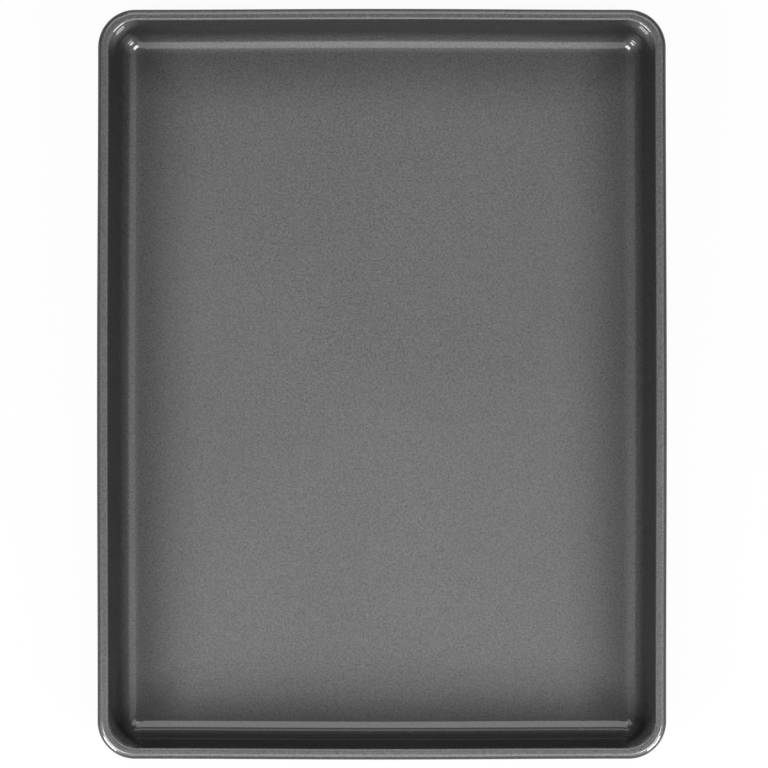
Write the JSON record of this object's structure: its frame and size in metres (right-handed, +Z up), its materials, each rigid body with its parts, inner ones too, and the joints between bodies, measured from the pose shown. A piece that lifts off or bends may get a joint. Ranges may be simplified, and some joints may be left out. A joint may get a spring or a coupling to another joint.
{
  "type": "cookie sheet",
  "caption": "Shallow rectangular baking sheet with a flat floor, sloping walls, rounded corners and a round rim rolled over a reinforcing wire.",
  "frame": {"origin": "centre of the pan's footprint on its underside, so z = 0 is the surface that it stands on", "axes": "+Z up out of the open side, +Y along the pan's length, +X across its width"},
  "size_m": [0.318, 0.419, 0.0254],
  "materials": {
    "coated_steel": "dark grey metallic nonstick coat, fine pebble grain, soft gloss",
    "bare_wire_steel": "drawn steel wire, uncoated"
  },
  "bodies": {
    "root": {"pan_body": "coated_steel", "rim_wire": "bare_wire_steel"}
  },
  "joints": []
}
